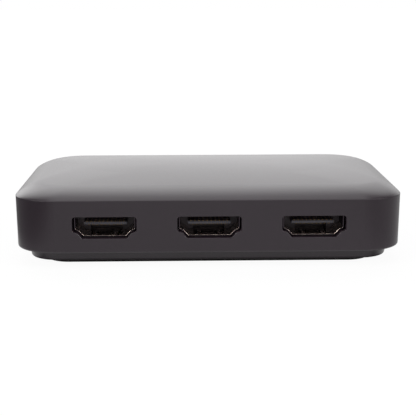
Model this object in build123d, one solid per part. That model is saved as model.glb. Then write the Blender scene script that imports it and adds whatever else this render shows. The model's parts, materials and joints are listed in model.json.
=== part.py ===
from build123d import *
import os

# HDMI switch box: three input sockets in one long face, and the output socket, power inlet,
# select button, lights and remote window in the other. Lengths are in millimetres.
# X runs along the faces, -Y is the input face, +Y the control face, and the box stands on Z = 0.

# Case outline
case_depth = 58.0
corner_radius = 10.5
flat_beside_sockets = 4.6
wall_thickness = 1.8
wall_draft = 0.15
wall_foot_radius = 0.5
cut_overrun = 1.0

# Plinth under the walls, and the rubber pad let into it
plinth_inset = 3.0
plinth_height = 2.55
plinth_draft = 0.5
plinth_foot_radius = 0.6
floor_thickness = 2.0
pad_thickness = 1.65
pad_recess = 0.3
pad_margin = 3.6
pad_corner_radius = 6.0
pad_gap = 0.1

# Domed lid: a curved rim, then a shallow crown
rim_width = 5.15
rim_height = 1.93
rim_power = 1.38
crown_height = 2.8
crown_power = 4
corner_tighten_share = 0.34
crown_roundness_share = 0.962
rim_shares = (0.0, 0.06, 0.2, 0.42, 0.7, 1.0)
crown_shares = (0.43, 0.53, 0.64, 0.75, 0.85, 0.93, 0.98)
lid_thickness = 1.8
lip_depth = 1.5
lip_thickness = 1.0
lip_gap = 0.1
room_under_lip = 2.18

# Posts and screws that close the case
post_radius = 3.2
post_side_room = 10.8
post_gap = 0.8
post_height = 6.5
lid_boss_radius = 2.6
lid_boss_gap = 0.1
case_screw_radius = 1.2
case_screw_reach = 5.0
screw_clearance = 0.15
thread_clearance = 0.05
case_head_radius = 2.2
case_head_height = 1.2
head_cover = 2.1
drive_width = 0.6
drive_length = 2.2
drive_depth = 0.6
blind_hole_rest = 1.0

# Circuit board, its rests and its screws
board_thickness = 1.2
board_edge_gap = 0.8
board_over_shelf = 0.47
board_hole_gap = 0.4
rest_radius = 1.5
rest_hole_wall = 1.2
front_rest_y_share = 0.72
rear_rest_x_share = 0.62
rear_rest_y_share = 0.58
board_screw_radius = 0.95
board_screw_length = 3.2
board_head_radius = 1.9
board_head_height = 1.1
board_screw_y = 0.0

# HDMI socket: folded shell, insulator with its tongue, and contacts
input_count = 3
socket_pitch = 25.4
shell_width = 14.8
shell_height = 5.35
shell_sheet = 0.3
shell_length = 11.6
shell_lift = 0.32
shell_flat = 10.45
shoulder_height = 1.7
shoulder_drop = 0.45
shoulder_width = 0.95
shell_fold_radius = 0.5
mouth_edge_share = 0.65
nose_gap = 0.15
cutout_side_gap = 0.33
cutout_under = 0.45
cutout_over = 0.08
cutout_shoulder_height = 1.65
cutout_shoulder_drop = 0.25
cutout_shoulder_width = 1.15
cutout_slant_width = 1.2
cutout_corner_radius = 0.7
cutout_bend_radius = 0.35
cutout_edge_radius = 0.2
leg_width = 1.2
leg_room = 1.35
leg_spacing = 5.4
leg_below_board = 0.7
leg_hole_gap = 0.12
finger_width = 1.1
finger_slot = 0.25
finger_tip = 0.9
finger_peak = 1.6
finger_root = 5.6
finger_rise = 0.35
finger_tip_drop = 0.3
lower_finger_offset = 2.5
upper_finger_offset = 3.4
insulator_gap = 0.03
insulator_front = 6.4
insulator_notch_width = 7.8
insulator_notch_depth = 2.4
insulator_notch_height = 1.5
tongue_width = 10.4
tongue_thickness = 0.95
tongue_nose = 0.55
tongue_nose_length = 0.4
tongue_setback = 2.0
tongue_height = 2.86
contact_pitch = 1.0
contact_width = 0.32
contact_thickness = 0.15
contact_setback = 0.2
contact_foot = 0.8
upper_contacts = 10
lower_contacts = 9

# Micro USB power inlet
usb_width = 7.4
usb_height = 2.45
usb_sheet = 0.25
usb_length = 5.6
usb_flat = 5.6
usb_side_height = 1.3
usb_fold_radius = 0.35
usb_insulator_front = 4.2
usb_tongue_width = 3.9
usb_tongue_thickness = 0.6
usb_tongue_setback = 0.9
usb_tongue_height = 1.55
usb_contact_count = 5
usb_contact_pitch = 0.65
usb_contact_width = 0.25
usb_contact_thickness = 0.12
usb_contact_foot = 0.7
usb_leg_width = 0.9
usb_leg_room = 1.2
usb_cutout_gap = 0.5
usb_cutout_radius = 0.8

# Row of the control face: space between the neighbours
control_gap = 2.2

# Select button
button_width = 10.0
button_height = 3.5
button_stand_out = 0.5
button_edge_radius = 0.25
button_side_gap = 0.15
button_flange_margin = 1.0
button_flange_thickness = 0.8
button_flange_gap = 0.05
button_stem_radius = 1.5
button_stem_length = 1.1

# Push switch behind the button
switch_size = 6.0
switch_depth = 3.2
switch_lift = 0.1
switch_cover_sheet = 0.25
switch_well_radius = 2.4
switch_well_depth = 1.5
plunger_radius = 1.6
plunger_stand_out = 1.0
plunger_disc_radius = 2.1
plunger_disc_thickness = 0.6
plunger_gap = 0.15
plunger_end_gap = 0.05
dome_radius = 2.2
dome_rise = 0.3
dome_sheet = 0.1
terminal_width = 0.7
terminal_thickness = 0.3
terminal_spacing = 4.5
terminal_tail = 0.8
strap_width = 2.0
strap_thickness = 0.25

# Status lights and their light guide
light_count = 3
light_pitch = 4.0
light_pin_radius = 0.7
light_pin_gap = 0.05
light_height = 3.2
guide_end = 1.7
guide_depth = 1.6
guide_bar_height = 2.6
guide_back_chamfer = 1.2
guide_foot_width = 0.9
guide_wall_gap = 0.9
led_width = 1.6
led_depth = 0.8
led_height = 0.5
led_lens_radius = 0.35
led_under_guide = 0.3

# Remote window and receiver
window_width = 5.0
window_height = 3.6
window_radius = 0.8
window_flange_margin = 0.8
window_flange_thickness = 0.8
window_gap = 0.05
window_height_on_board = 3.4
receiver_width = 5.2
receiver_depth = 3.2
receiver_height = 5.6
receiver_lift = 0.3
receiver_lens_radius = 1.6
receiver_window_gap = 0.3
lead_count = 3
lead_pitch = 1.5
lead_width = 0.45
lead_below_board = 0.8

# Chips and small parts on the board, placed at shares of the free band between the sockets
main_chip_size = 10.0
main_chip_height = 1.2
main_chip_leads = 16
small_chip_width = 5.0
small_chip_depth = 4.0
small_chip_height = 1.4
small_chip_leads = 4
regulator_width = 6.5
regulator_depth = 3.5
regulator_height = 1.6
regulator_leads = 3
regulator_lead_pitch = 2.3
lead_span = 1.0
lead_sheet = 0.15
chip_lead_share = 0.5
chip_lift = 0.1
chip_edge_chamfer = 0.3
crystal_width = 5.0
crystal_depth = 3.2
crystal_height = 1.1
crystal_edge_radius = 0.5
crystal_gap = 2.0
inductor_size = 5.0
inductor_height = 2.8
inductor_edge = 0.7
capacitor_length = 1.6
capacitor_width = 0.8
capacitor_height = 0.8
resistor_length = 1.6
resistor_width = 0.8
resistor_height = 0.45
array_length = 2.5
array_width = 1.1
array_height = 0.6
array_gap = 1.2
main_chip_shares = (0.0, -0.12)
small_chip_shares = (-0.36, 0.1)
regulator_shares = (0.52, 0.32)
inductor_shares = (0.56, -0.36)
capacitor_shares = (
    (-0.24, -0.3),
    (-0.24, -0.05),
    (0.24, -0.3),
    (0.24, -0.05),
    (0.36, 0.5),
    (0.36, -0.1),
    (0.42, 0.05),
    (-0.52, -0.1),
)
resistor_shares = (
    (-0.5, 0.45),
    (-0.42, 0.6),
    (-0.32, -0.5),
    (0.3, -0.6),
    (0.25, 0.5),
    (-0.58, 0.15),
)

# Sizes that follow from the ones above
half_turn = 180
outer_socket_x = socket_pitch * (input_count - 1) / 2
case_half_x = outer_socket_x + shell_width / 2 + flat_beside_sockets + corner_radius
case_half_y = case_depth / 2
plinth_z = pad_thickness - pad_recess
wall_z = plinth_z + plinth_height
floor_z = plinth_z + floor_thickness
shelf_z = wall_z + wall_thickness
board_z = shelf_z + board_over_shelf
board_top_z = board_z + board_thickness
shell_z = board_top_z + shell_lift
seam_z = shell_z + shell_height + room_under_lip + lip_depth
inner_y = case_half_y - wall_thickness
nose_y = inner_y - nose_gap
post_x = case_half_x - post_side_room
post_y = nose_y - shell_length - post_gap - post_radius
post_top_z = floor_z + post_height
head_seat_z = plinth_z + head_cover
board_half_x = case_half_x - wall_thickness - board_edge_gap
board_half_y = inner_y - board_edge_gap
switch_z = board_top_z + switch_lift + switch_size / 2
light_z = board_top_z + light_height
window_z = board_top_z + window_height_on_board
flange_y = inner_y - button_flange_gap
plunger_y = flange_y - button_flange_thickness - button_stem_length
switch_y = plunger_y - plunger_stand_out
free_half_x = post_x - post_radius
free_half_y = nose_y - shell_length - contact_foot


# Shared shapes

def block(x, y, z):
    """Box between a low and a high value along X, Y and Z."""
    size = [high - low for low, high in (x, y, z)]
    centre = [(high + low) / 2 for low, high in (x, y, z)]
    return Pos(*centre) * Box(*size)


def around(centre, size):
    """Low and high value of a size laid evenly about a centre."""
    return centre - size / 2, centre + size / 2


def along_x(profile, x):
    """Solid with a profile drawn in Y and Z, between two values of X."""
    return extrude(Plane.YZ.offset(x[0]) * profile, x[1] - x[0], dir=(1, 0, 0))


def along_y(profile, y):
    """Solid with a profile drawn in X and Z, between two values of Y."""
    return extrude(Plane.XZ.offset(-y[0]) * profile, y[1] - y[0], dir=(0, 1, 0))


def post(radius, x, y, z):
    """Round post between two heights."""
    return Pos(x, y, z[0]) * extrude(Circle(radius), z[1] - z[0])


def rod(radius, x, z, y):
    """Round rod along Y between two values of Y."""
    return along_y(Pos(x, z) * Circle(radius), y)


def plate(inset, radius, z):
    """Plate with the case outline drawn in by an inset, between two heights."""
    outline = RectangleRounded(2 * (case_half_x - inset), 2 * (case_half_y - inset), radius)
    return Pos(0, 0, z[0]) * extrude(outline, z[1] - z[0])


def case_section(inset, z):
    """Case outline drawn in by an inset, at one height."""
    width = 2 * (case_half_x - inset)
    depth = 2 * (case_half_y - inset)
    return Pos(0, 0, z) * RectangleRounded(width, depth, corner_radius - inset)


def tapered(low_inset, high_inset, z):
    """Case outline that changes its inset between two heights."""
    sections = Sketch() + [case_section(low_inset, z[0]), case_section(high_inset, z[1])]
    return loft(sections, ruled=True)


def four_corners(x, y):
    """The four places at plus or minus x and y."""
    return [(side * x, end * y) for side in (-1, 1) for end in (-1, 1)]


def facing_inputs(x, z):
    """Place of a connector's mouth in the input face."""
    return Pos(x, -nose_y, z)


def facing_controls(x, z):
    """Place of a connector's mouth in the control face."""
    return Pos(x, nose_y, z) * Rot(0, 0, half_turn)


def centres_in_row(widths, gap):
    """Centres of neighbours laid side by side with one gap, as a row centred on X = 0."""
    start = -(sum(widths) + gap * (len(widths) - 1)) / 2
    centres = []
    for width in widths:
        centres.append(start + width / 2)
        start += width + gap
    return centres


# Places along the two faces
input_xs = [index * socket_pitch - outer_socket_x for index in range(input_count)]
button_flange_width = button_width + 2 * button_flange_margin
button_flange_height = button_height + 2 * button_flange_margin
window_flange_width = window_width + 2 * window_flange_margin
guide_length = light_pitch * (light_count - 1) + 2 * guide_end
control_widths = (window_flange_width, button_flange_width, guide_length, shell_width, usb_width)
window_x, button_x, guide_x, output_x, usb_x = centres_in_row(control_widths, control_gap)
light_xs = [guide_x + light_pitch * (index - (light_count - 1) / 2) for index in range(light_count)]
socket_places = {
    f"hdmi_in_{index + 1}": facing_inputs(x, shell_z) for index, x in enumerate(input_xs)
}
socket_places["hdmi_out"] = facing_controls(output_x, shell_z)
usb_place = facing_controls(usb_x, board_top_z)


# Domed lid

def dome_sections(inset, base_z):
    """Outlines that climb the rim and then the crown, drawn in by an inset."""
    half_x = case_half_x - inset
    half_y = case_half_y - inset
    radius = corner_radius - inset
    sections = []
    for share in rim_shares:
        drawn_in = rim_width * share
        rim = rim_height * (1 - (1 - share) ** rim_power) ** (1 / rim_power)
        crown = crown_height * (1 - (1 - drawn_in / half_y) ** 2)
        corner = radius - corner_tighten_share * drawn_in
        outline = RectangleRounded(2 * (half_x - drawn_in), 2 * (half_y - drawn_in), corner)
        sections.append(Pos(0, 0, base_z + rim + crown) * outline)
    rim_left = (1 - rim_width / half_y) ** 2
    rim_corner = radius - corner_tighten_share * rim_width
    for share in crown_shares:
        reach_x = (half_x - rim_width) * ((1 - share) / rim_left) ** (1 / crown_power)
        reach_y = half_y * (1 - share) ** 0.5
        grown = rim_corner + corner_tighten_share * (half_y - rim_width - reach_y)
        corner = min(grown, crown_roundness_share * reach_y)
        outline = RectangleRounded(2 * reach_x, 2 * reach_y, corner)
        sections.append(Pos(0, 0, base_z + rim_height + crown_height * share) * outline)
    return sections


def dome(inset, base_z, ruled=False):
    """Solid under the lid's curved surface, smooth or with straight walls between its outlines."""
    return loft(Sketch() + dome_sections(inset, base_z), ruled=ruled)


def make_top_cover():
    """Lid with a lip inside the walls and a boss over each case post."""
    outside = dome(0, seam_z)
    hollow = dome(wall_thickness, seam_z - lid_thickness, ruled=True)
    cover = outside - hollow
    lip_inset = wall_thickness + lip_gap
    lip_z = (seam_z - lip_depth, seam_z)
    lip = plate(lip_inset, corner_radius - lip_inset, lip_z)
    lip -= plate(lip_inset + lip_thickness, corner_radius - lip_inset - lip_thickness, lip_z)
    cover += lip
    boss_z = post_top_z + lid_boss_gap
    hole_top = post_top_z + case_screw_reach + blind_hole_rest
    for x, y in four_corners(post_x, post_y):
        boss = post(lid_boss_radius, x, y, (boss_z, seam_z + rim_height + crown_height))
        low_part = post(lid_boss_radius, x, y, (boss_z, seam_z))
        cover += (boss & outside) + low_part
        cover -= post(case_screw_radius + thread_clearance, x, y, (boss_z, hole_top))
    return cover


# Bottom housing

def cutout_profile():
    """Opening in the wall in front of an HDMI socket, drawn in the socket's own frame."""
    half = shell_width / 2 + cutout_side_gap
    low = shell_sheet - cutout_under
    high = shell_height - shell_sheet + cutout_over
    shoulder = low + cutout_shoulder_height
    bend = half - cutout_shoulder_width
    foot = bend - cutout_slant_width
    points = [
        (-half, high),
        (-half, shoulder),
        (-bend, shoulder - cutout_shoulder_drop),
        (-foot, low),
        (foot, low),
        (bend, shoulder - cutout_shoulder_drop),
        (half, shoulder),
        (half, high),
    ]
    outline = Polygon(*points, align=None)
    bends = outline.vertices().filter_by(lambda v: abs(v.X) < (bend + half) / 2)
    outline = fillet(bends, cutout_bend_radius)
    corners = outline.vertices().filter_by(lambda v: abs(v.X) > half - cutout_bend_radius / 2)
    return fillet(corners, cutout_corner_radius)


def wall_span():
    """Y span, in a connector's own frame, that runs through the wall before it."""
    return -nose_gap - wall_thickness - cut_overrun, cut_overrun - nose_gap


def make_wall_openings():
    """Everything that is cut through the two long walls."""
    socket_cut = along_y(cutout_profile(), wall_span())
    cuts = [place * socket_cut for place in socket_places.values()]
    usb_size = (usb_width + 2 * usb_cutout_gap, usb_height + 2 * usb_cutout_gap)
    usb_hole = Pos(0, usb_height / 2) * RectangleRounded(*usb_size, usb_cutout_radius)
    cuts.append(usb_place * along_y(usb_hole, wall_span()))
    through = (inner_y - cut_overrun, case_half_y + cut_overrun)
    button_size = (button_width + 2 * button_side_gap, button_height + 2 * button_side_gap)
    cuts.append(along_y(Pos(button_x, switch_z) * SlotOverall(*button_size), through))
    window_size = (window_width + 2 * window_gap, window_height + 2 * window_gap)
    window_hole = RectangleRounded(*window_size, window_radius + window_gap)
    cuts.append(along_y(Pos(window_x, window_z) * window_hole, through))
    cuts += [rod(light_pin_radius + light_pin_gap, x, light_z, through) for x in light_xs]
    return cuts


def socket_opening_edges(tub):
    """Edges round the HDMI openings, on the outside of both long walls."""
    faces = tub.faces().sort_by(Axis.Y)
    wires = faces[0].inner_wires() + faces[-1].inner_wires()
    wide = [wire for wire in wires if wire.bounding_box().size.X > shell_width]
    return [edge for wire in wide for edge in wire.edges()]


def rest_places():
    """Places of the plain rests under the board."""
    front = [(side * socket_pitch / 2, -front_rest_y_share * case_half_y) for side in (-1, 1)]
    rear_y = rear_rest_y_share * case_half_y
    rear = [(side * rear_rest_x_share * case_half_x, rear_y) for side in (-1, 1)]
    return front + rear


def board_screw_places():
    """Places of the board's two screws, in line with the case posts."""
    return [(-post_x, board_screw_y), (post_x, board_screw_y)]


def make_bottom_housing():
    """Tub with its plinth, floor, posts, rests and wall openings."""
    wall = tapered(wall_draft, 0, (wall_z, seam_z))
    wall = fillet(wall.edges().group_by(Axis.Z)[0], wall_foot_radius)
    plinth = tapered(plinth_inset + plinth_draft, plinth_inset, (plinth_z, wall_z))
    plinth = fillet(plinth.edges().group_by(Axis.Z)[0], plinth_foot_radius)
    tub = wall + plinth
    tub -= plate(wall_thickness, corner_radius - wall_thickness, (shelf_z, seam_z + cut_overrun))
    inner_inset = plinth_inset + wall_thickness
    tub -= plate(inner_inset, corner_radius - inner_inset, (floor_z, shelf_z + cut_overrun))
    pad_inset = plinth_inset + plinth_draft + pad_margin - pad_gap
    pad_space = (plinth_z - cut_overrun, plinth_z + pad_recess)
    tub -= plate(pad_inset, pad_corner_radius + pad_gap, pad_space)
    for x, y in four_corners(post_x, post_y):
        tub += post(post_radius, x, y, (floor_z, post_top_z))
        hole_radius = case_screw_radius + screw_clearance
        tub -= post(hole_radius, x, y, (plinth_z, post_top_z + cut_overrun))
        tub -= post(case_head_radius + screw_clearance, x, y, (plinth_z - cut_overrun, head_seat_z))
    for x, y in rest_places():
        tub += post(rest_radius, x, y, (floor_z, board_z))
    pilot_radius = board_screw_radius + thread_clearance
    pilot_z = board_top_z - board_screw_length - thread_clearance
    for x, y in board_screw_places():
        tub += post(pilot_radius + rest_hole_wall, x, y, (floor_z, board_z))
        tub -= post(pilot_radius, x, y, (pilot_z, board_z + cut_overrun))
    for cut in make_wall_openings():
        tub -= cut
    return fillet(socket_opening_edges(tub), cutout_edge_radius)


def make_base_pad():
    """Rubber pad let into the underside of the plinth."""
    inset = plinth_inset + plinth_draft + pad_margin
    return plate(inset, pad_corner_radius, (0, pad_thickness))


# Screws

def make_screw(radius, length, head_radius, head_height):
    """Pan-head screw that points down, with the underside of its head at the origin."""
    head = extrude(Circle(head_radius), head_height)
    head = fillet(head.edges().group_by(Axis.Z)[-1], head_height / 2)
    shank = Pos(0, 0, -length) * extrude(Circle(radius), length)
    slot_z = (head_height - drive_depth, head_height)
    slots = block(around(0, drive_length), around(0, drive_width), slot_z)
    slots += block(around(0, drive_width), around(0, drive_length), slot_z)
    return head + shank - slots


def make_case_screws():
    """Four screws driven up from under the pad."""
    length = post_top_z + case_screw_reach - head_seat_z
    screw = make_screw(case_screw_radius, length, case_head_radius, case_head_height)
    upward = Rot(half_turn, 0, 0) * screw
    places = four_corners(post_x, post_y)
    return Compound(children=[Pos(x, y, head_seat_z) * upward for x, y in places])


def make_board_screws():
    """Two screws that hold the board down."""
    screw = make_screw(board_screw_radius, board_screw_length, board_head_radius, board_head_height)
    return Compound(children=[Pos(x, y, board_top_z) * screw for x, y in board_screw_places()])


# HDMI sockets, each in its own frame: mouth at Y = 0, body towards +Y, shell's foot at Z = 0

def shell_profile():
    """Outside of the folded shell, with its shoulders low and its flat foot."""
    half = shell_width / 2
    points = [
        (-half, shell_height),
        (-half, shoulder_height),
        (-half + shoulder_width, shoulder_height - shoulder_drop),
        (-shell_flat / 2, 0),
        (shell_flat / 2, 0),
        (half - shoulder_width, shoulder_height - shoulder_drop),
        (half, shoulder_height),
        (half, shell_height),
    ]
    outline = Polygon(*points, align=None)
    folds = outline.vertices().filter_by(lambda v: abs(v.X) > half - shoulder_width / 2)
    return fillet(folds, shell_fold_radius)


def leg_blocks(width, thickness, leg_size, ys, z, grow=0):
    """Legs at both sides of a connector, or their holes where they are grown."""
    legs = []
    for y in ys:
        for x in (-(width - thickness) / 2, (width - thickness) / 2):
            x_span = around(x, thickness + 2 * grow)
            legs.append(block(x_span, around(y, leg_size + 2 * grow), z))
    return legs


def finger_profile(length_from, length_to):
    """Side view of a spring finger that rises out of the sheet towards its tip."""
    crest = shell_sheet + finger_rise
    points = [
        (length_to, 0),
        (length_to, shell_sheet),
        (finger_peak, crest),
        (length_from, crest - finger_tip_drop),
        (length_from, crest - finger_tip_drop - shell_sheet),
        (finger_peak, finger_rise),
    ]
    return Polygon(*points, align=None)


def socket_leg_ys():
    """Rows of legs along the socket, clear of the shelf inside the wall."""
    front = plinth_inset + leg_room - nose_gap
    return front, front + leg_spacing


def socket_legs(grow=0):
    """Legs of an HDMI shell, from its sides down through the board."""
    low = -shell_lift - board_thickness - leg_below_board
    return leg_blocks(shell_width, shell_sheet, leg_width, socket_leg_ys(), (low, shoulder_height), grow)


def make_socket_shell():
    """Folded shell with two spring fingers in its foot, two in its roof, and four legs."""
    outside = shell_profile()
    inside = offset(outside, -shell_sheet)
    shell = along_y(outside - inside, (0, shell_length))
    mouth = shell.faces().sort_by(Axis.Y)[0]
    shell = fillet(mouth.inner_wires()[0].edges(), mouth_edge_share * shell_sheet)
    finger = along_x(finger_profile(finger_tip, finger_root), around(0, finger_width))
    window_x = around(0, finger_width + 2 * finger_slot)
    window_y = (finger_tip - finger_slot, finger_root)
    window = block(window_x, window_y, (-cut_overrun, shell_sheet + finger_slot))
    roof = Pos(0, 0, shell_height) * Rot(0, half_turn, 0)
    for side in (-1, 1):
        lower = Pos(side * lower_finger_offset, 0, 0)
        upper = Pos(side * upper_finger_offset, 0, 0) * roof
        shell -= lower * window
        shell -= upper * window
        shell += lower * finger
        shell += upper * finger
    for leg in socket_legs():
        shell += leg
    return shell


def contact_rows():
    """X places and top height of the two rows of contacts."""
    upper = [contact_pitch * (index - (upper_contacts - 1) / 2) for index in range(upper_contacts)]
    lower = [contact_pitch * (index - (lower_contacts - 1) / 2) for index in range(lower_contacts)]
    upper_top = tongue_height + tongue_thickness / 2
    lower_top = tongue_height - tongue_thickness / 2 + contact_thickness
    return [(x, upper_top) for x in upper] + [(x, lower_top) for x in lower]


def make_socket_tongue():
    """Insulator: a block across the back of the shell, notched below, and the tongue before it."""
    half = tongue_thickness / 2
    nose_end = tongue_setback + tongue_nose_length
    points = [
        (insulator_front, tongue_height - half),
        (nose_end, tongue_height - half),
        (tongue_setback, tongue_height - tongue_nose / 2),
        (tongue_setback, tongue_height + tongue_nose / 2),
        (nose_end, tongue_height + half),
        (insulator_front, tongue_height + half),
    ]
    tongue = along_x(Polygon(*points, align=None), around(0, tongue_width))
    filling = offset(shell_profile(), -shell_sheet - insulator_gap)
    tongue += along_y(filling, (insulator_front, shell_length))
    notch_y = (insulator_front, insulator_front + insulator_notch_depth)
    tongue -= block(around(0, insulator_notch_width), notch_y, (0, insulator_notch_height))
    start = tongue_setback + contact_setback
    for x, top in contact_rows():
        height = (top - contact_thickness, top)
        tongue -= block(around(x, contact_width), (start, shell_length), height)
    return tongue


def contact_strip(start, end, top, thickness, foot, low, width):
    """Contact along the tongue, down behind the insulator, and out along the board."""
    points = [
        (start, top - thickness),
        (start, top),
        (end + thickness, top),
        (end + thickness, low + thickness),
        (end + foot, low + thickness),
        (end + foot, low),
        (end, low),
        (end, top - thickness),
    ]
    return along_x(Polygon(*points, align=None), around(0, width))


def make_socket_contacts():
    """The nineteen contacts of an HDMI socket."""
    start = tongue_setback + contact_setback
    strips = []
    for x, top in contact_rows():
        strip = contact_strip(
            start, shell_length, top, contact_thickness, contact_foot, -shell_lift, contact_width
        )
        strips.append(Pos(x, 0, 0) * strip)
    return strips


# Micro USB inlet, in its own frame: mouth at Y = 0, body towards +Y, foot on the board at Z = 0

def usb_profile():
    """Outside of the inlet's shell."""
    half = usb_width / 2
    points = [
        (-half, usb_height),
        (-half, usb_height - usb_side_height),
        (-usb_flat / 2, 0),
        (usb_flat / 2, 0),
        (half, usb_height - usb_side_height),
        (half, usb_height),
    ]
    outline = Polygon(*points, align=None)
    return fillet(outline.vertices(), usb_fold_radius)


def usb_legs(grow=0):
    """Two legs of the inlet, from its sides down through the board."""
    low = -board_thickness - leg_below_board
    high = usb_height - usb_side_height / 2
    y = plinth_inset + usb_leg_room - nose_gap
    return leg_blocks(usb_width, usb_sheet, usb_leg_width, [y], (low, high), grow)


def make_usb_shell():
    """Folded shell of the inlet with its legs."""
    outside = usb_profile()
    shell = along_y(outside - offset(outside, -usb_sheet), (0, usb_length))
    for leg in usb_legs():
        shell += leg
    return shell


def usb_contact_xs():
    """X places of the inlet's contacts."""
    return [
        usb_contact_pitch * (index - (usb_contact_count - 1) / 2) for index in range(usb_contact_count)
    ]


def make_usb_tongue():
    """Insulator of the inlet with its tongue."""
    height = around(usb_tongue_height, usb_tongue_thickness)
    span = (usb_tongue_setback, usb_insulator_front)
    tongue = block(around(0, usb_tongue_width), span, height)
    filling = offset(usb_profile(), -usb_sheet - insulator_gap)
    tongue += along_y(filling, (usb_insulator_front, usb_length))
    groove = (height[0], height[0] + usb_contact_thickness)
    start = usb_tongue_setback + contact_setback
    for x in usb_contact_xs():
        tongue -= block(around(x, usb_contact_width), (start, usb_length), groove)
    return tongue


def make_usb_contacts():
    """Contacts of the inlet, under its tongue."""
    start = usb_tongue_setback + contact_setback
    top = usb_tongue_height - usb_tongue_thickness / 2 + usb_contact_thickness
    strip = contact_strip(
        start, usb_length, top, usb_contact_thickness, usb_contact_foot, 0, usb_contact_width
    )
    return [Pos(x, 0, 0) * strip for x in usb_contact_xs()]


# Select button and the push switch behind it

def make_select_button():
    """Button cap with the flange that keeps it in the wall and the stem that pushes the switch."""
    cap = along_y(SlotOverall(button_width, button_height), (flange_y, case_half_y + button_stand_out))
    cap = fillet(cap.edges().group_by(Axis.Y)[-1], button_edge_radius)
    flange = SlotOverall(button_flange_width, button_flange_height)
    cap += along_y(flange, (flange_y - button_flange_thickness, flange_y))
    cap += rod(button_stem_radius, 0, 0, (plunger_y, flange_y))
    return Pos(button_x, 0, switch_z) * cap


def make_switch_plunger():
    """Round plunger with the disc that holds it in the switch."""
    disc_y = switch_y - switch_cover_sheet - plunger_end_gap
    plunger = rod(plunger_disc_radius, button_x, switch_z, (disc_y - plunger_disc_thickness, disc_y))
    return plunger + rod(plunger_radius, button_x, switch_z, (disc_y, plunger_y))


def terminal_xs():
    """X places of the switch's terminals."""
    return around(button_x, terminal_spacing)


def terminal_y():
    """Y place of the switch's terminals, across the middle of its base."""
    return switch_y - switch_cover_sheet - switch_depth * 3 / 4


def terminal_block(x, grow=0):
    """One terminal from the underside of the base to below the board."""
    low = board_z - terminal_tail - grow
    x_span = around(x, terminal_width + 2 * grow)
    y_span = around(terminal_y(), terminal_thickness + 2 * grow)
    return block(x_span, y_span, (low, board_top_z + switch_lift))


def make_switch_base():
    """Moulded base of the switch with the well of the plunger."""
    high_y = switch_y - switch_cover_sheet
    z_span = around(switch_z, switch_size)
    base = block(around(button_x, switch_size), (high_y - switch_depth, high_y), z_span)
    return base - rod(switch_well_radius, button_x, switch_z, (high_y - switch_well_depth, high_y))


def strap_block(side, grow=0):
    """Leg of the switch's cover, beside the base and down into the board."""
    inner = switch_size / 2 - grow
    outer = switch_size / 2 + strap_thickness + grow
    x_span = sorted((button_x + side * inner, button_x + side * outer))
    y_span = (switch_y - strap_width - grow, switch_y + grow)
    return block(x_span, y_span, (board_z, switch_z))


def make_switch_frame():
    """Sheet cover over the front of the switch, with a leg at each side."""
    z_span = around(switch_z, switch_size)
    x_span = around(button_x, switch_size + 2 * strap_thickness)
    cover = block(x_span, (switch_y - switch_cover_sheet, switch_y), z_span)
    for side in (-1, 1):
        cover += strap_block(side)
    hole = (switch_y - switch_cover_sheet - cut_overrun, switch_y + cut_overrun)
    return cover - rod(plunger_radius + plunger_gap, button_x, switch_z, hole)


def make_switch_dome():
    """Shallow snap dome at the bottom of the well."""
    low_y = switch_y - switch_cover_sheet - switch_well_depth
    outer = dome_cap(dome_radius, dome_rise)
    inner = dome_cap(dome_radius - dome_sheet, dome_rise - dome_sheet)
    return Pos(button_x, low_y, switch_z) * Rot(-half_turn / 2, 0, 0) * (outer - inner)


def dome_cap(radius, rise):
    """Slice of a ball with a round foot of one radius and a rise."""
    ball = (radius ** 2 + rise ** 2) / (2 * rise)
    cap = Pos(0, 0, rise - ball) * Sphere(ball)
    return cap & block(around(0, 2 * radius), around(0, 2 * radius), (0, rise))


# Lights and remote receiver

def make_light_guide():
    """Clear bar with a pin through the wall for each light and a foot at each end."""
    high_y = inner_y - guide_wall_gap
    low_y = high_y - guide_depth
    z_low, z_high = around(light_z, guide_bar_height)
    points = [
        (low_y, z_low),
        (high_y, z_low),
        (high_y, z_high),
        (low_y + guide_back_chamfer, z_high),
        (low_y, z_high - guide_back_chamfer),
    ]
    x_low, x_high = around(guide_x, guide_length)
    guide = along_x(Polygon(*points, align=None), (x_low, x_high))
    for x in light_xs:
        guide += rod(light_pin_radius, x, light_z, (high_y, case_half_y))
    for foot in ((x_low, x_low + guide_foot_width), (x_high - guide_foot_width, x_high)):
        guide += block(foot, (low_y, high_y), (board_top_z, z_low))
    return guide


def make_status_led(x):
    """Surface light under the guide: a body and a small lens."""
    y = inner_y - guide_wall_gap - guide_depth / 2
    z_high = board_top_z + led_height
    led = block(around(x, led_width), around(y, led_depth), (board_top_z, z_high))
    room = light_z - guide_bar_height / 2 - led_under_guide
    return led + post(led_lens_radius, x, y, (z_high, room))


def make_ir_window():
    """Dark window let into the wall, flush outside and with a flange inside."""
    middle = Pos(window_x, window_z)
    pane = middle * RectangleRounded(window_width, window_height, window_radius)
    window = along_y(pane, (inner_y, case_half_y))
    margin = 2 * window_flange_margin
    flange_radius = window_radius + window_flange_margin
    flange = middle * RectangleRounded(window_width + margin, window_height + margin, flange_radius)
    return window + along_y(flange, (inner_y - window_flange_thickness, inner_y))


def receiver_front():
    """Front of the receiver's body, behind the window."""
    lens_y = inner_y - window_flange_thickness - receiver_window_gap
    return lens_y - receiver_lens_radius / 2


def make_receiver_body():
    """Receiver with its round lens."""
    front = receiver_front()
    z_low = board_top_z + receiver_lift
    x_span = around(window_x, receiver_width)
    body = block(x_span, (front - receiver_depth, front), (z_low, z_low + receiver_height))
    lens = Sphere(receiver_lens_radius)
    lens &= block(
        around(0, 2 * receiver_lens_radius),
        (0, receiver_lens_radius / 2),
        around(0, 2 * receiver_lens_radius),
    )
    return body + Pos(window_x, front, window_z) * lens


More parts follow.
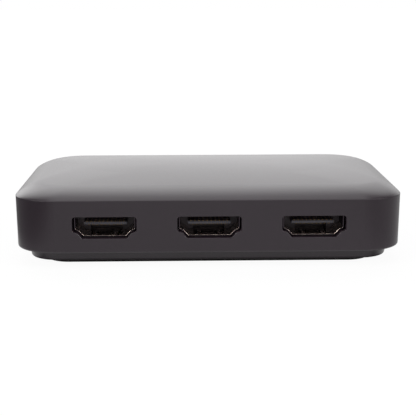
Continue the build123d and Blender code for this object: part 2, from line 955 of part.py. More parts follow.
def lead_block(index, grow=0):
    """One lead of the receiver, from its underside to below the board."""
    x = window_x + lead_pitch * (index - (lead_count - 1) / 2)
    y = receiver_front() - receiver_depth / 2
    width = lead_width + 2 * grow
    z_low = board_z - lead_below_board
    return block(around(x, width), around(y, width), (z_low, board_top_z + receiver_lift))


# Board and what is soldered to it

def board_place(shares):
    """Place in the free band of the board between the rows of sockets."""
    return free_half_x * shares[0], free_half_y * shares[1]


def make_main_board():
    """Circuit board with holes for the posts, screws, legs and leads."""
    inset = wall_thickness + board_edge_gap
    board = plate(inset, corner_radius - inset, (board_z, board_top_z))
    through = (board_z - cut_overrun, board_top_z + cut_overrun)
    for x, y in four_corners(post_x, post_y):
        board -= post(post_radius + board_hole_gap, x, y, through)
    for x, y in board_screw_places():
        board -= post(board_screw_radius + screw_clearance, x, y, through)
    holes = [place * leg for place in socket_places.values() for leg in socket_legs(leg_hole_gap)]
    holes += [usb_place * leg for leg in usb_legs(leg_hole_gap)]
    holes += [terminal_block(x, leg_hole_gap) for x in terminal_xs()]
    holes += [strap_block(side, leg_hole_gap) for side in (-1, 1)]
    holes += [lead_block(index, leg_hole_gap) for index in range(lead_count)]
    for hole in holes:
        board -= hole
    return board


def chip_body(width, depth, height):
    """Moulded chip with a bevelled top edge, standing on its leads at Z = 0."""
    body = block(around(0, width), around(0, depth), (chip_lift, height))
    return chamfer(body.edges().group_by(Axis.Z)[-1], chip_edge_chamfer)


def lead_row(count, pitch, edge):
    """Bent leads along one side of a chip, whose body ends at the given edge."""
    width = pitch * chip_lead_share
    knee = edge + lead_span / 2
    points = [
        (edge, chip_lift + lead_span / 2),
        (edge, chip_lift + lead_span / 2 + lead_sheet),
        (knee + lead_sheet, chip_lift + lead_span / 2 + lead_sheet),
        (knee + lead_sheet, lead_sheet),
        (edge + lead_span, lead_sheet),
        (edge + lead_span, 0),
        (knee, 0),
        (knee, chip_lift + lead_span / 2),
    ]
    lead = along_x(Polygon(*points, align=None), around(0, width))
    return [Pos(pitch * (index - (count - 1) / 2), 0, 0) * lead for index in range(count)]


def turned(solids, angle):
    """Solids turned about Z."""
    return [Rot(0, 0, angle) * solid for solid in solids]


def make_main_chip():
    """Switching chip with leads along all four sides."""
    side = main_chip_size
    pitch = side / (main_chip_leads + 1)
    row = lead_row(main_chip_leads, pitch, side / 2)
    quarter = half_turn / 2
    leads = [lead for turn in range(4) for lead in turned(row, quarter * turn)]
    return chip_body(side, side, main_chip_height), leads


def make_small_chip():
    """Control chip with leads along its two long sides."""
    row = lead_row(small_chip_leads, small_chip_width / small_chip_leads, small_chip_depth / 2)
    body = chip_body(small_chip_width, small_chip_depth, small_chip_height)
    return body, row + turned(row, half_turn)


def make_regulator():
    """Voltage regulator with three leads and a tab."""
    row = lead_row(regulator_leads, regulator_lead_pitch, regulator_depth / 2)
    tab = lead_row(1, regulator_width * chip_lead_share, regulator_depth / 2)
    body = chip_body(regulator_width, regulator_depth, regulator_height)
    return body, row + turned(tab, half_turn)


def crystal_place():
    """Place beside the switching chip, in line with one of its edges and clear of its leads."""
    x, y = board_place(main_chip_shares)
    half_chip = main_chip_size / 2
    return x - half_chip, y + half_chip + lead_span + crystal_gap + crystal_depth / 2


def make_crystal():
    """Crystal in a round-edged can."""
    can = extrude(RectangleRounded(crystal_width, crystal_depth, crystal_depth / 3), crystal_height)
    return fillet(can.edges().group_by(Axis.Z)[-1], crystal_edge_radius)


def make_inductor():
    """Power inductor with bevelled corners."""
    body = extrude(RectangleRounded(inductor_size, inductor_size, inductor_edge), inductor_height)
    return chamfer(body.edges().group_by(Axis.Z)[-1], inductor_edge / 2)


def chips_of(length, width, height, shares_table):
    """Small block parts of one kind, laid at shares of the free band."""
    part = block(around(0, length), around(0, width), (0, height))
    return [Pos(*board_place(shares), board_top_z) * part for shares in shares_table]


def make_protection_arrays():
    """Surge protection arrays, one behind the contacts of each socket."""
    y = shell_length + contact_foot + array_gap
    part = block(around(0, array_length), around(y, array_width), (0, array_height))
    return [place * Pos(0, 0, -shell_lift) * part for place in socket_places.values()]


# All nodes by name

def group(solids):
    """Several separate solids of one node."""
    return Compound(children=list(solids))


def build_nodes():
    """Every node of the box, in its place."""
    nodes = {
        "top_cover": make_top_cover(),
        "bottom_housing": make_bottom_housing(),
        "base_pad": make_base_pad(),
        "case_screws": make_case_screws(),
        "board_screws": make_board_screws(),
        "main_board": make_main_board(),
    }
    shell = make_socket_shell()
    tongue = make_socket_tongue()
    contacts = make_socket_contacts()
    for name, place in socket_places.items():
        nodes[f"{name}_shell"] = place * shell
        nodes[f"{name}_tongue"] = place * tongue
        nodes[f"{name}_contacts"] = group(place * contact for contact in contacts)
    nodes["usb_power_shell"] = usb_place * make_usb_shell()
    nodes["usb_power_tongue"] = usb_place * make_usb_tongue()
    nodes["usb_power_contacts"] = group(usb_place * contact for contact in make_usb_contacts())
    nodes["select_button"] = make_select_button()
    nodes["tact_switch_plunger"] = make_switch_plunger()
    nodes["tact_switch_base"] = make_switch_base()
    nodes["tact_switch_frame"] = make_switch_frame()
    nodes["tact_switch_dome"] = make_switch_dome()
    nodes["tact_switch_terminals"] = group(terminal_block(x) for x in terminal_xs())
    nodes["light_guide"] = make_light_guide()
    for index, x in enumerate(light_xs):
        nodes[f"status_led_{index + 1}"] = make_status_led(x)
    nodes["ir_window"] = make_ir_window()
    nodes["ir_receiver_body"] = make_receiver_body()
    nodes["ir_receiver_leads"] = group(lead_block(index) for index in range(lead_count))
    chips = {
        "switch_chip": (make_main_chip(), main_chip_shares),
        "control_chip": (make_small_chip(), small_chip_shares),
        "voltage_regulator": (make_regulator(), regulator_shares),
    }
    for name, ((body, leads), shares) in chips.items():
        place = Pos(*board_place(shares), board_top_z)
        nodes[f"{name}_body"] = place * body
        nodes[f"{name}_leads"] = group(place * lead for lead in leads)
    nodes["crystal"] = Pos(*crystal_place(), board_top_z) * make_crystal()
    nodes["inductor"] = Pos(*board_place(inductor_shares), board_top_z) * make_inductor()
    capacitor = (capacitor_length, capacitor_width, capacitor_height)
    nodes["capacitors"] = group(chips_of(*capacitor, capacitor_shares))
    resistor = (resistor_length, resistor_width, resistor_height)
    nodes["resistors"] = group(chips_of(*resistor, resistor_shares))
    nodes["protection_arrays"] = group(make_protection_arrays())
    return nodes


os.makedirs("parts", exist_ok=True)
for node, shape in build_nodes().items():
    export_step(shape, f"parts/{node}.step")
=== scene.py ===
import json
import math

import bpy
from mathutils import Matrix, Vector


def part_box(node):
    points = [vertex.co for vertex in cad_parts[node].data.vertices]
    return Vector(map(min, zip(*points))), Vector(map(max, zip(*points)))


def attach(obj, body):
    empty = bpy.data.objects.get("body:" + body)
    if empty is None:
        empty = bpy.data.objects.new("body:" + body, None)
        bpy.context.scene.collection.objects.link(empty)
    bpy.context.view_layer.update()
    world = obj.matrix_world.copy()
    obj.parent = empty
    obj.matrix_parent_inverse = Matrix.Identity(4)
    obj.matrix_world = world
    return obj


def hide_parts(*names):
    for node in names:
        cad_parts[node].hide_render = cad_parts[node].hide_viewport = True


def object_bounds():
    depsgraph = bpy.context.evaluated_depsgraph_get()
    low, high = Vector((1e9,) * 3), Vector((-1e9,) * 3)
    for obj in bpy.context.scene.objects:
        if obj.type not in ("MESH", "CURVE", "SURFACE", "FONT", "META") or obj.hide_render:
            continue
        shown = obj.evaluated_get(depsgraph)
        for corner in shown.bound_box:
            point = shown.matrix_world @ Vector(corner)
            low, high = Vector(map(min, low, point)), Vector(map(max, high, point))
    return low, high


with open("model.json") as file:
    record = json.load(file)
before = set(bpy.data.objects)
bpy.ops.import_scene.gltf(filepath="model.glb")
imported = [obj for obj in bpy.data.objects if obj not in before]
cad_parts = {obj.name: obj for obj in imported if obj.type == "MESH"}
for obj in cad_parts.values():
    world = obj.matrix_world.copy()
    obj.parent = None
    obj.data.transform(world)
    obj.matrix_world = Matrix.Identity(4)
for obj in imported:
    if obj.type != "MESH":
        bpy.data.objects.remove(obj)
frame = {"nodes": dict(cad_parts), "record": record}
cad_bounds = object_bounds()

# Lengths are in metres. +X is to the right in the photograph and -Y is the input face.
millimetre = 0.001
micrometre = 0.000001

# Camera: aimed at the middle of the input face's wall, as measured in the photograph
image_pixels = 416
pixels_per_metre = 1 / 0.00024144
camera_distance = 0.2518
camera_elevation = math.radians(12.98)
camera_yaw = math.radians(1.36)
camera_roll = math.radians(-0.1)
aim_height = 10.1 * millimetre
aim_pixel_x = 209.6
aim_pixel_y = 227.8
sensor_width = 36.0

# Lid shape, as in the solid
corner_radius = 10.5 * millimetre
rim_width = 5.15 * millimetre
rim_height = 1.93 * millimetre
rim_power = 1.38
crown_height = 2.8 * millimetre
crown_power = 4
corner_tighten_share = 0.34
crown_roundness_share = 0.962

# Rings of the lid's skin: how many, how close together near its lower edge, and how far over the crown
rim_steps = 26
crown_steps = 34
rim_step_power = 1.8
crown_reach = 0.985

# Soft lights round the object: azimuth from +Y towards +X, elevation, half width in degrees, strength
soft_lights = (
    (-16, 0, 20, 0.38),
    (0, 0, 20, 0.60),
    (-155, 10, 20, 0.10),
    (155, 10, 20, 0.20),
    (-110, 15, 35, 0.15),
    (-32, 15, 20, 2.41),
    (0, 15, 20, 0.53),
    (16, 15, 20, 0.34),
    (32, 15, 20, 1.15),
    (110, 15, 35, 0.45),
    (-36, 30, 20, 1.33),
    (-18, 30, 20, 0.72),
    (0, 30, 20, 0.85),
    (18, 30, 20, 0.33),
    (-140, 35, 35, 0.45),
    (140, 35, 35, 0.35),
    (-118, 33, 17, 8.0),
    (118, 33, 17, 8.0),
    (-22, 45, 20, 1.90),
    (0, 45, 20, 0.51),
    (22, 45, 20, 1.97),
    (-110, 50, 35, 0.49),
    (180, 55, 30, 0.57),
    (-30, 60, 20, 1.07),
    (0, 60, 20, 2.76),
    (30, 60, 20, 0.26),
    (0, 75, 20, 0.67),
    (180, 75, 25, 1.35),
    (0, 90, 20, 1.30),
)
# Share of a light's half width that has its full strength
light_core_share = 0.15

# Tongue of a socket: where its nose starts, from the middle of the case, and the contacts on it
tongue_nose_start = 24.55 * millimetre
tongue_nose_blend = 0.1 * millimetre
contact_step = 0.5 * millimetre
contact_core_share = 0.1
contact_edge_share = 0.25
contact_mark_colour = (0.15, 0.1, 0.05)

# Status light: how high its lens starts over its foot
lens_height = 0.5 * millimetre
lens_blend = 0.05 * millimetre
lens_colour = (0.75, 0.5, 0.1)

# Background as reflections and clear parts see it, by the X of the ray's direction: ends of its two
# steps, and its levels below, between and above them
background_edges = (-0.45, -0.2, 0.25, 0.5)
background_levels = (0.1, 0.6, 0.4)

# Floor: the same by X, and by the distance outside the object's box. The two levels are multiplied.
# By X this is painted shade: the glow is darker towards the sides, as if the paper were lit only in the
# middle.
floor_edges = (-74 * millimetre, -50 * millimetre, 46 * millimetre, 66 * millimetre)
painted_side_shade_levels = (0.05, 1.0, 0.5)
# By distance this is a painted shadow under the object's edge and a painted brighter band just round
# it.
painted_shadow_edges = (-4 * millimetre, -1 * millimetre, 4 * millimetre, 20 * millimetre)
painted_shadow_levels = (0.2, 1.15, 1.0)
# Share of the floor's own glow, against its plain surface, for reflections and for the camera
floor_glow = 0.8
paper_glow = 0.95
floor_half = 3.0
floor_grey = 0.85

# Range that the values of a noise mostly fill
noise_range = (0.3, 0.7)


# Node materials

def new_material(name):
    """Empty node material with its output node."""
    material = bpy.data.materials.new(name)
    material.use_nodes = True
    tree = material.node_tree
    tree.nodes.clear()
    output = tree.nodes.new("ShaderNodeOutputMaterial")
    return material, tree, output


def add_node(tree, kind, inputs=None, **settings):
    """Node with settings, and with inputs given as values or as sockets to link."""
    node = tree.nodes.new(kind)
    for key, value in settings.items():
        setattr(node, key, value)
    for key, value in (inputs or {}).items():
        if isinstance(value, bpy.types.NodeSocket):
            tree.links.new(value, node.inputs[key])
        else:
            node.inputs[key].default_value = value
    return node


def principled(tree, output, inputs):
    """Surface shader linked to the output."""
    shader = add_node(tree, "ShaderNodeBsdfPrincipled", inputs)
    tree.links.new(shader.outputs["BSDF"], output.inputs["Surface"])


def object_coordinates(tree):
    """Coordinates that stay on the object, in metres."""
    return add_node(tree, "ShaderNodeTexCoord").outputs["Object"]


def object_normal(tree, axis):
    """How far the surface faces along one axis of the object, either way, from 0 to 1."""
    normal = add_node(tree, "ShaderNodeTexCoord").outputs["Normal"]
    part = add_node(tree, "ShaderNodeSeparateXYZ", {"Vector": normal}).outputs[axis]
    return calculate(tree, "ABSOLUTE", part)


def calculate(tree, operation, first, second=0.0):
    """Result of one operation on two values."""
    return add_node(tree, "ShaderNodeMath", {0: first, 1: second}, operation=operation).outputs["Value"]


def noise(tree, vector, waves, detail=2.0, roughness=0.5):
    """Noise of a given number of waves in a metre."""
    inputs = {"Vector": vector, "Scale": waves, "Detail": detail, "Roughness": roughness}
    return add_node(tree, "ShaderNodeTexNoise", inputs).outputs["Fac"]


def ramp(tree, factor, low, high, out_low=0.0, out_high=1.0, curve="LINEAR"):
    """Factor mapped from one range to another."""
    inputs = {
        "Value": factor,
        "From Min": low,
        "From Max": high,
        "To Min": out_low,
        "To Max": out_high,
    }
    return add_node(tree, "ShaderNodeMapRange", inputs, interpolation_type=curve).outputs["Result"]


def spread(tree, factor, out_low=0.0, out_high=1.0):
    """Noise stretched from the range that it mostly fills to another."""
    return ramp(tree, factor, noise_range[0], noise_range[1], out_low, out_high)


def blend_colours(tree, factor, first, second):
    """Mix of two colours."""
    node = add_node(tree, "ShaderNodeMix", data_type="RGBA")
    tree.links.new(factor, node.inputs[0])
    for index, colour in ((6, first), (7, second)):
        if isinstance(colour, bpy.types.NodeSocket):
            tree.links.new(colour, node.inputs[index])
        else:
            node.inputs[index].default_value = (*colour, 1.0)
    return node.outputs[2]


def bump(tree, height, distance, strength=1.0):
    """Normal bent by a height."""
    inputs = {"Height": height, "Distance": distance, "Strength": strength}
    return add_node(tree, "ShaderNodeBump", inputs).outputs["Normal"]


def moulded_plastic(
    name, dark, light, grain=0.22 * millimetre, depth=4 * micrometre, rough=(0.3, 0.36), ior=1.5
):
    """Moulded plastic with a fine eroded grain and a faint drift of tone."""
    material, tree, output = new_material(name)
    place = object_coordinates(tree)
    drift = noise(tree, place, waves=45.0, detail=3.0)
    fine = noise(tree, place, waves=1.0 / grain, detail=3.0, roughness=0.6)
    principled(tree, output, {
        "Base Color": blend_colours(tree, spread(tree, drift), dark, light),
        "Roughness": spread(tree, fine, rough[0], rough[1]),
        "IOR": ior,
        "Normal": bump(tree, fine, depth),
    })
    return material


def sheet_metal(
    name, dark, light, rough=(0.22, 0.4), grain=0.3 * millimetre, stretch=(1.0, 0.12, 1.0)
):
    """Rolled or plated sheet metal with fine lines along its length."""
    material, tree, output = new_material(name)
    place = object_coordinates(tree)
    lined = add_node(tree, "ShaderNodeMapping", {"Vector": place, "Scale": stretch}).outputs["Vector"]
    lines = noise(tree, lined, waves=1.0 / grain, detail=4.0, roughness=0.6)
    patches = noise(tree, place, waves=350.0)
    principled(tree, output, {
        "Base Color": blend_colours(tree, spread(tree, patches), dark, light),
        "Metallic": 1.0,
        "Roughness": spread(tree, lines, rough[0], rough[1]),
        "Normal": bump(tree, lines, 3 * micrometre),
    })
    return material


def plated_shell(name, dark, light, painted_shade_colour, rough=(0.12, 0.24)):
    """Plated sheet with worn patches, with painted shade on its cut edges and its upright sides: a
    near-black colour and a rougher surface.
    """
    material, tree, output = new_material(name)
    place = object_coordinates(tree)
    lined = add_node(tree, "ShaderNodeMapping", {"Vector": place, "Scale": (1.0, 0.15, 1.0)})
    lines = noise(tree, lined.outputs["Vector"], waves=3500.0, detail=4.0, roughness=0.6)
    patches = noise(tree, place, waves=1400.0, detail=3.0)
    plating = blend_colours(tree, ramp(tree, patches, 0.42, 0.6), dark, light)
    # Painted shade: the cut edges facing along Y and the upright sides turn near-black, as if shaded in
    # the socket's recess
    edge = ramp(tree, object_normal(tree, "Y"), 0.72, 0.86)
    upright = ramp(tree, object_normal(tree, "Z"), 0.12, 0.3, 1.0, 0.0)
    painted_shade = calculate(tree, "MAXIMUM", edge, upright)
    painted_shade_roughness = calculate(tree, "MULTIPLY", painted_shade, 0.25)
    principled(tree, output, {
        "Base Color": blend_colours(tree, painted_shade, plating, painted_shade_colour),
        "Metallic": 1.0,
        "Roughness": calculate(tree, "ADD", spread(tree, lines, rough[0], rough[1]), painted_shade_roughness),
        "Normal": bump(tree, lines, 2 * micrometre),
    })
    return material


def speckled(name, dark, light, speck, speck_size=0.25 * millimetre, rough=(0.55, 0.75)):
    """Pressed or fired powder with small specks and a matt surface."""
    material, tree, output = new_material(name)
    place = object_coordinates(tree)
    cells = add_node(tree, "ShaderNodeTexVoronoi", {"Vector": place, "Scale": 1.0 / speck_size})
    grain = noise(tree, place, waves=2.0 / speck_size, detail=3.0)
    base = blend_colours(tree, spread(tree, grain), dark, light)
    spot = ramp(tree, cells.outputs["Distance"], 0.12, 0.22, 1.0, 0.0)
    principled(tree, output, {
        "Base Color": blend_colours(tree, spot, base, speck),
        "Roughness": spread(tree, grain, rough[0], rough[1]),
        "Normal": bump(tree, grain, 6 * micrometre),
    })
    return material


def board_mask(name):
    """Solder mask over fine tracks, with the pale laminate at the cut edges."""
    material, tree, output = new_material(name)
    place = object_coordinates(tree)
    mask_dark, mask_light = (0.006, 0.05, 0.024), (0.01, 0.07, 0.034)
    track_colour, laminate = (0.02, 0.14, 0.06), (0.32, 0.27, 0.14)
    tracks = None
    for turn, row, width in ((0.0, 2.1, 6.4), (math.pi / 2, 2.7, 9.2)):
        turned = add_node(tree, "ShaderNodeMapping", {"Vector": place, "Rotation": (0.0, 0.0, turn)})
        grid = add_node(tree, "ShaderNodeTexBrick", {
            "Vector": turned.outputs["Vector"],
            "Scale": 1.0,
            "Mortar Size": 0.09 * millimetre,
            "Mortar Smooth": 0.3,
            "Brick Width": width * millimetre,
            "Row Height": row * millimetre,
        })
        line = grid.outputs["Fac"]
        tracks = line if tracks is None else calculate(tree, "MAXIMUM", tracks, line)
    area = ramp(tree, noise(tree, place, waves=130.0), 0.45, 0.55)
    tracks = calculate(tree, "MULTIPLY", tracks, area)
    drift = spread(tree, noise(tree, place, waves=60.0, detail=3.0))
    mask = blend_colours(tree, drift, mask_dark, mask_light)
    mask = blend_colours(tree, tracks, mask, track_colour)
    flat = ramp(tree, object_normal(tree, "Z"), 0.5, 0.8)
    principled(tree, output, {
        "Base Color": blend_colours(tree, flat, laminate, mask),
        "Roughness": ramp(tree, drift, 0.0, 1.0, 0.28, 0.38),
        "Normal": bump(tree, tracks, 30 * micrometre),
    })
    return material


def clear_plastic(name, tint_dark, tint_light, rough, clearness):
    """Plastic that lets light through, with a faintly frosted surface."""
    material, tree, output = new_material(name)
    place = object_coordinates(tree)
    frost = noise(tree, place, waves=2500.0, detail=3.0)
    drift = spread(tree, noise(tree, place, waves=150.0))
    principled(tree, output, {
        "Base Color": blend_colours(tree, drift, tint_dark, tint_light),
        "Roughness": spread(tree, frost, rough[0], rough[1]),
        "IOR": 1.49,
        "Transmission Weight": clearness,
        "Normal": bump(tree, frost, 2 * micrometre),
    })
    return material


def tongue_plastic(name, dark, light, nose):
    """Dark insulator whose pale tongue nose shows the ends of the contacts as small marks."""
    material, tree, output = new_material(name)
    place = object_coordinates(tree)
    split = add_node(tree, "ShaderNodeSeparateXYZ", {"Vector": place})
    grain = noise(tree, place, waves=3500.0, detail=3.0)
    body = blend_colours(tree, grain, dark, light)
    from_contact = calculate(tree, "PINGPONG", split.outputs["X"], contact_step / 2)
    core = contact_step * contact_core_share
    edge = contact_step * contact_edge_share
    mark = ramp(tree, from_contact, core, edge, 1.0, 0.0)
    mark = calculate(tree, "MULTIPLY", mark, ramp(tree, grain, 0.4, 0.55, 0.2, 0.7))
    tip = blend_colours(tree, mark, nose, contact_mark_colour)
    reach = calculate(tree, "ABSOLUTE", split.outputs["Y"])
    front = ramp(tree, reach, tongue_nose_start, tongue_nose_start + tongue_nose_blend)
    principled(tree, output, {
        "Base Color": blend_colours(tree, front, body, tip),
        "Roughness": spread(tree, grain, 0.42, 0.55),
        "Normal": bump(tree, grain, 3 * micrometre),
    })
    return material


def lamp_body(name, dark, light):
    """Milky light body whose raised lens is yellow."""
    material, tree, output = new_material(name)
    place = object_coordinates(tree)
    grain = noise(tree, place, waves=3000.0)
    lens_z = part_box("status_led_1")[0].z + lens_height
    height = add_node(tree, "ShaderNodeSeparateXYZ", {"Vector": place}).outputs["Z"]
    lens = ramp(tree, height, lens_z, lens_z + lens_blend)
    body = blend_colours(tree, grain, dark, light)
    principled(tree, output, {
        "Base Color": blend_colours(tree, lens, body, lens_colour),
        "Roughness": spread(tree, grain, 0.3, 0.42),
        "Subsurface Weight": 0.2,
        "Normal": bump(tree, grain, 2 * micrometre),
    })
    return material


# Case

def rounded_outline(half_x, half_y, radius, corner_steps=20, side_steps=(36, 20)):
    """Points round a rectangle with rounded corners, anticlockwise, evenly counted on each side."""
    points = []
    corners = ((1, 1, 0.0), (-1, 1, 0.5), (-1, -1, 1.0), (1, -1, 1.5))
    for number, (sign_x, sign_y, start) in enumerate(corners):
        centre = Vector((sign_x * (half_x - radius), sign_y * (half_y - radius)))
        for step in range(corner_steps + 1):
            angle = math.pi * (start + 0.5 * step / corner_steps)
            points.append(centre + radius * Vector((math.cos(angle), math.sin(angle))))
        next_x, next_y, _ = corners[(number + 1) % len(corners)]
        next_centre = Vector((next_x * (half_x - radius), next_y * (half_y - radius)))
        angle = math.pi * (start + 0.5)
        shift = radius * Vector((math.cos(angle), math.sin(angle)))
        steps = side_steps[number % 2]
        for step in range(1, steps):
            points.append((centre + shift).lerp(next_centre + shift, step / steps))
    return points


def lid_ring(half_x, half_y, radius, share):
    """Half sizes, corner radius and rise of the lid, up the rim to share 1 and over the crown to 2."""
    if share <= 1:
        drawn_in = rim_width * share
        rise = rim_height * (1 - (1 - share) ** rim_power) ** (1 / rim_power)
        rise += crown_height * (1 - (1 - drawn_in / half_y) ** 2)
        corner = radius - corner_tighten_share * drawn_in
        return half_x - drawn_in, half_y - drawn_in, corner, rise
    rim_left = (1 - rim_width / half_y) ** 2
    left = rim_left * (2 - share) ** 2
    reach_x = (half_x - rim_width) * (left / rim_left) ** (1 / crown_power)
    reach_y = half_y * left ** 0.5
    rim_corner = radius - corner_tighten_share * rim_width
    grown = rim_corner + corner_tighten_share * (half_y - rim_width - reach_y)
    corner = min(grown, crown_roundness_share * reach_y)
    return reach_x, reach_y, corner, rim_height + crown_height * (1 - left)


def lid_levels():
    """Shares at which the lid's rings lie, closer together near its lower edge."""
    rim = [(step / rim_steps) ** rim_step_power for step in range(rim_steps + 1)]
    crown = [1 + crown_reach * step / crown_steps for step in range(1, crown_steps + 1)]
    return rim + crown


def make_lid(seam_z):
    """Lid as one closed skin: the curved outside, and a flat underside that rests on the housing."""
    corner_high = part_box("bottom_housing")[1]
    half_x = corner_high.x
    half_y = corner_high.y
    rings = []
    for share in lid_levels():
        reach_x, reach_y, corner, rise = lid_ring(half_x, half_y, corner_radius, share)
        rings.append([(p.x, p.y, seam_z + rise) for p in rounded_outline(reach_x, reach_y, corner)])
    vertices = [point for ring in rings for point in ring]
    count = len(rings[0])
    faces = []
    for level in range(len(rings) - 1):
        for index in range(count):
            following = (index + 1) % count
            here = level * count
            above = here + count
            faces.append((here + index, here + following, above + following, above + index))
    smooth_faces = len(faces) + 1
    top = (len(rings) - 1) * count
    faces.append(tuple(top + index for index in range(count)))
    under = len(vertices)
    inner_corner = corner_radius - corner_tighten_share * rim_width
    inner = rounded_outline(half_x - rim_width, half_y - rim_width, inner_corner)
    vertices += [(p.x, p.y, seam_z) for p in inner]
    for index in range(count):
        following = (index + 1) % count
        faces.append((following, index, under + index, under + following))
    faces.append(tuple(under + index for index in reversed(range(count))))
    mesh = bpy.data.meshes.new("lid_skin")
    mesh.from_pydata(vertices, [], faces)
    mesh.update()
    for polygon in mesh.polygons:
        polygon.use_smooth = polygon.index < smooth_faces
    lid = bpy.data.objects.new("lid_skin", mesh)
    bpy.context.scene.collection.objects.link(lid)
    return lid


# Camera, lights and surroundings

def direction(azimuth, elevation):
    """Unit vector towards a place round the object, in degrees from +Y towards +X and upwards."""
    turn, rise = math.radians(azimuth), math.radians(elevation)
    return Vector((math.sin(turn) * math.cos(rise), math.cos(turn) * math.cos(rise), math.sin(rise)))


def make_camera():
    """Camera at the photograph's angle, with the small shift that its framing needs."""
    target = Vector((0.0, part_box("bottom_housing")[0].y, aim_height))
    forward = direction(math.degrees(camera_yaw), -math.degrees(camera_elevation))
    data = bpy.data.cameras.new("camera")
    data.sensor_width = sensor_width
    data.lens = camera_distance * pixels_per_metre * sensor_width / image_pixels
    middle = image_pixels / 2
    data.shift_x = -(aim_pixel_x - middle) / image_pixels
    data.shift_y = (aim_pixel_y - middle) / image_pixels
    data.clip_start = 0.01
    camera = bpy.data.objects.new("camera", data)
    camera.location = target - forward * camera_distance
    turn = forward.to_track_quat("-Z", "Y").to_matrix().to_4x4()
    roll = Matrix.Rotation(camera_roll, 4, "Z")
    camera.matrix_world = Matrix.Translation(camera.location) @ turn @ roll
    bpy.context.scene.collection.objects.link(camera)
    bpy.context.scene.camera = camera


def three_levels(tree, value, edges, levels):
    """Low, middle and high level of a value, with a soft step between each two."""
    step_up = ramp(tree, value, edges[0], edges[1], levels[0], levels[1], "SMOOTHSTEP")
    step_down = ramp(tree, value, edges[2], edges[3], 0.0, levels[2] - levels[1], "SMOOTHSTEP")
    return calculate(tree, "ADD", step_up, step_down)


def seen_in_gloss(tree, path):
    """1 for rays that come from a reflection or through a clear part."""
    glossy = path.outputs["Is Glossy Ray"]
    return calculate(tree, "MAXIMUM", glossy, path.outputs["Is Transmission Ray"])


def make_world():
    """Room with soft lights, white for the camera, with a backdrop for reflections and clear parts."""
    world = bpy.data.worlds.new("studio")
    world.use_nodes = True
    tree = world.node_tree
    tree.nodes.clear()
    output = tree.nodes.new("ShaderNodeOutputWorld")
    path = add_node(tree, "ShaderNodeLightPath")
    way = add_node(tree, "ShaderNodeTexCoord").outputs["Generated"]
    sideways = add_node(tree, "ShaderNodeSeparateXYZ", {"Vector": way}).outputs["X"]
    backdrop = three_levels(tree, sideways, background_edges, background_levels)
    light = calculate(tree, "MULTIPLY", seen_in_gloss(tree, path), backdrop)
    for azimuth, elevation, width, strength in soft_lights:
        inputs = {0: way, 1: direction(azimuth, elevation)}
        product = add_node(tree, "ShaderNodeVectorMath", inputs, operation="DOT_PRODUCT")
        nearness = product.outputs["Value"]
        edge = math.cos(math.radians(width))
        core = math.cos(math.radians(width * light_core_share))
        glow = ramp(tree, nearness, edge, core, 0.0, strength, "SMOOTHSTEP")
        light = calculate(tree, "ADD", light, glow)
    room = add_node(tree, "ShaderNodeBackground", {"Color": (1, 1, 1, 1), "Strength": light})
    white = add_node(tree, "ShaderNodeBackground", {"Color": (1, 1, 1, 1), "Strength": 1.0})
    mix = add_node(tree, "ShaderNodeMixShader", {
        0: path.outputs["Is Camera Ray"],
        1: room.outputs["Background"],
        2: white.outputs["Background"],
    })
    tree.links.new(mix.outputs["Shader"], output.inputs["Surface"])
    bpy.context.scene.world = world


def make_floor():
    """Pale floor that shows white and keeps a faint shadow, with painted light and shade in the glow
    that reflections see.
    """
    mesh = bpy.data.meshes.new("floor")
    corners = [(x * floor_half, y * floor_half, 0) for x, y in ((-1, -1), (1, -1), (1, 1), (-1, 1))]
    mesh.from_pydata(corners, [], [(0, 1, 2, 3)])
    floor = bpy.data.objects.new("floor", mesh)
    bpy.context.scene.collection.objects.link(floor)
    material, tree, output = new_material("floor_paper")
    path = add_node(tree, "ShaderNodeLightPath")
    from_camera = path.outputs["Is Camera Ray"]
    grey = (floor_grey, floor_grey, floor_grey, 1)
    diffuse = add_node(tree, "ShaderNodeBsdfDiffuse", {"Color": grey})
    split = add_node(tree, "ShaderNodeSeparateXYZ", {"Vector": object_coordinates(tree)})
    # Painted shade: the glow is darker towards the sides
    level = three_levels(tree, split.outputs["X"], floor_edges, painted_side_shade_levels)
    box_high = cad_bounds[1]
    distances = []
    for axis, reach in (("X", box_high[0]), ("Y", box_high[1])):
        sideways = calculate(tree, "ABSOLUTE", split.outputs[axis])
        distances.append(calculate(tree, "SUBTRACT", sideways, reach))
    beyond = calculate(tree, "MAXIMUM", *distances)
    # Painted shadow under the object's edge and a painted brighter band just round it
    level = calculate(tree, "MULTIPLY", level, three_levels(tree, beyond, painted_shadow_edges, painted_shadow_levels))
    # The camera sees level 1 everywhere
    level = calculate(tree, "MULTIPLY", level, calculate(tree, "SUBTRACT", 1.0, from_camera))
    level = calculate(tree, "MAXIMUM", level, from_camera)
    white = add_node(tree, "ShaderNodeEmission", {"Color": (1, 1, 1, 1), "Strength": level})
    glossy = calculate(tree, "MULTIPLY", seen_in_gloss(tree, path), floor_glow)
    direct = calculate(tree, "MULTIPLY", from_camera, paper_glow)
    mix = add_node(tree, "ShaderNodeMixShader", {
        0: calculate(tree, "MAXIMUM", glossy, direct),
        1: diffuse.outputs["BSDF"],
        2: white.outputs["Emission"],
    })
    tree.links.new(mix.outputs["Shader"], output.inputs["Surface"])
    mesh.materials.append(material)


def dress(node, material):
    """CAD node with a material in place of its own."""
    mesh = frame["nodes"][node].data
    mesh.materials.clear()
    mesh.materials.append(material)


# Materials of the slots: dark and light tone first, then what differs from the usual

case_plastic = moulded_plastic(
    "case_plastic_fine", (0.0128, 0.0066, 0.0112), (0.0152, 0.0084, 0.0136), ior=1.46
)

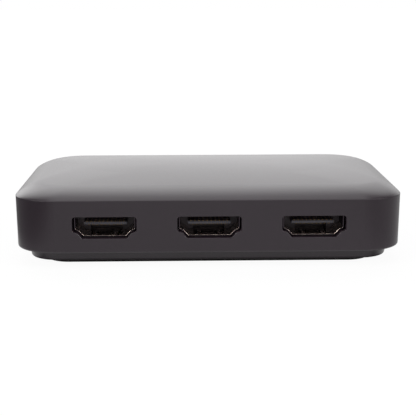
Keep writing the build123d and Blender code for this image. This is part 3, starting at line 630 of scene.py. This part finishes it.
node_materials = {
    "case_plastic": case_plastic,
    "pad_rubber": moulded_plastic(
        "pad_rubber_matt", (0.048, 0.043, 0.047), (0.058, 0.052, 0.057), rough=(0.7, 0.85)
    ),
    "board": board_mask("board_mask"),
    # The shell's near-black colour is painted shade on its cut edges and upright sides
    "socket_shell": plated_shell(
        "socket_gold", (0.24, 0.175, 0.15), (0.98, 0.84, 0.72), painted_shade_colour=(0.05, 0.04, 0.047)
    ),
    "socket_insulator": tongue_plastic(
        "insulator_plastic", (0.034, 0.025, 0.034), (0.042, 0.032, 0.042), nose=(0.05, 0.055, 0.085)
    ),
    "contact_gold": sheet_metal("contact_gold_plate", (0.14, 0.095, 0.04), (0.2, 0.14, 0.065)),
    "button_plastic": moulded_plastic(
        "button_smooth", (0.012, 0.012, 0.013), (0.017, 0.017, 0.019), rough=(0.12, 0.18)
    ),
    "switch_plastic": moulded_plastic(
        "switch_moulding", (0.018, 0.018, 0.018), (0.028, 0.028, 0.028), rough=(0.4, 0.55)
    ),
    "switch_metal": sheet_metal(
        "switch_sheet", (0.42, 0.42, 0.4), (0.6, 0.6, 0.58), rough=(0.28, 0.45)
    ),
    "light_guide_clear": clear_plastic(
        "light_guide_frosted", (0.86, 0.88, 0.9), (0.92, 0.94, 0.95), rough=(0.22, 0.34), clearness=0.85
    ),
    "led_white": lamp_body("led_body", (0.62, 0.6, 0.52), (0.74, 0.72, 0.64)),
    "window_dark": clear_plastic(
        "window_dark_red", (0.05, 0.006, 0.01), (0.075, 0.01, 0.015), rough=(0.05, 0.09), clearness=0.35
    ),
    "chip_black": moulded_plastic(
        "chip_moulding",
        (0.014, 0.014, 0.015),
        (0.024, 0.024, 0.026),
        grain=0.12 * millimetre,
        depth=8 * micrometre,
        rough=(0.45, 0.6),
    ),
    "tinned_lead": sheet_metal("tinned_steel", (0.5, 0.5, 0.49), (0.68, 0.68, 0.67)),
    "screw_steel": sheet_metal(
        "screw_zinc", (0.3, 0.3, 0.31), (0.42, 0.42, 0.44), rough=(0.3, 0.5), stretch=(1, 1, 1)
    ),
    "ferrite": speckled(
        "ferrite_core", (0.05, 0.05, 0.054), (0.085, 0.085, 0.09), speck=(0.13, 0.13, 0.135)
    ),
    "capacitor_ceramic": speckled(
        "capacitor_body", (0.3, 0.19, 0.11), (0.4, 0.27, 0.16), speck=(0.48, 0.36, 0.24)
    ),
    "resistor_ceramic": speckled(
        "resistor_body", (0.02, 0.02, 0.022), (0.035, 0.035, 0.038), speck=(0.09, 0.09, 0.095)
    ),
}
for part in frame["record"]["subparts"]:
    dress(part["node"], node_materials[part["material_slot"]])

seam_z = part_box("bottom_housing")[1].z
lid = make_lid(seam_z)
lid.data.materials.append(case_plastic)
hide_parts("top_cover")
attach(lid, "case")

make_camera()
make_world()
make_floor()
bpy.context.scene.view_settings.view_transform = "Standard"
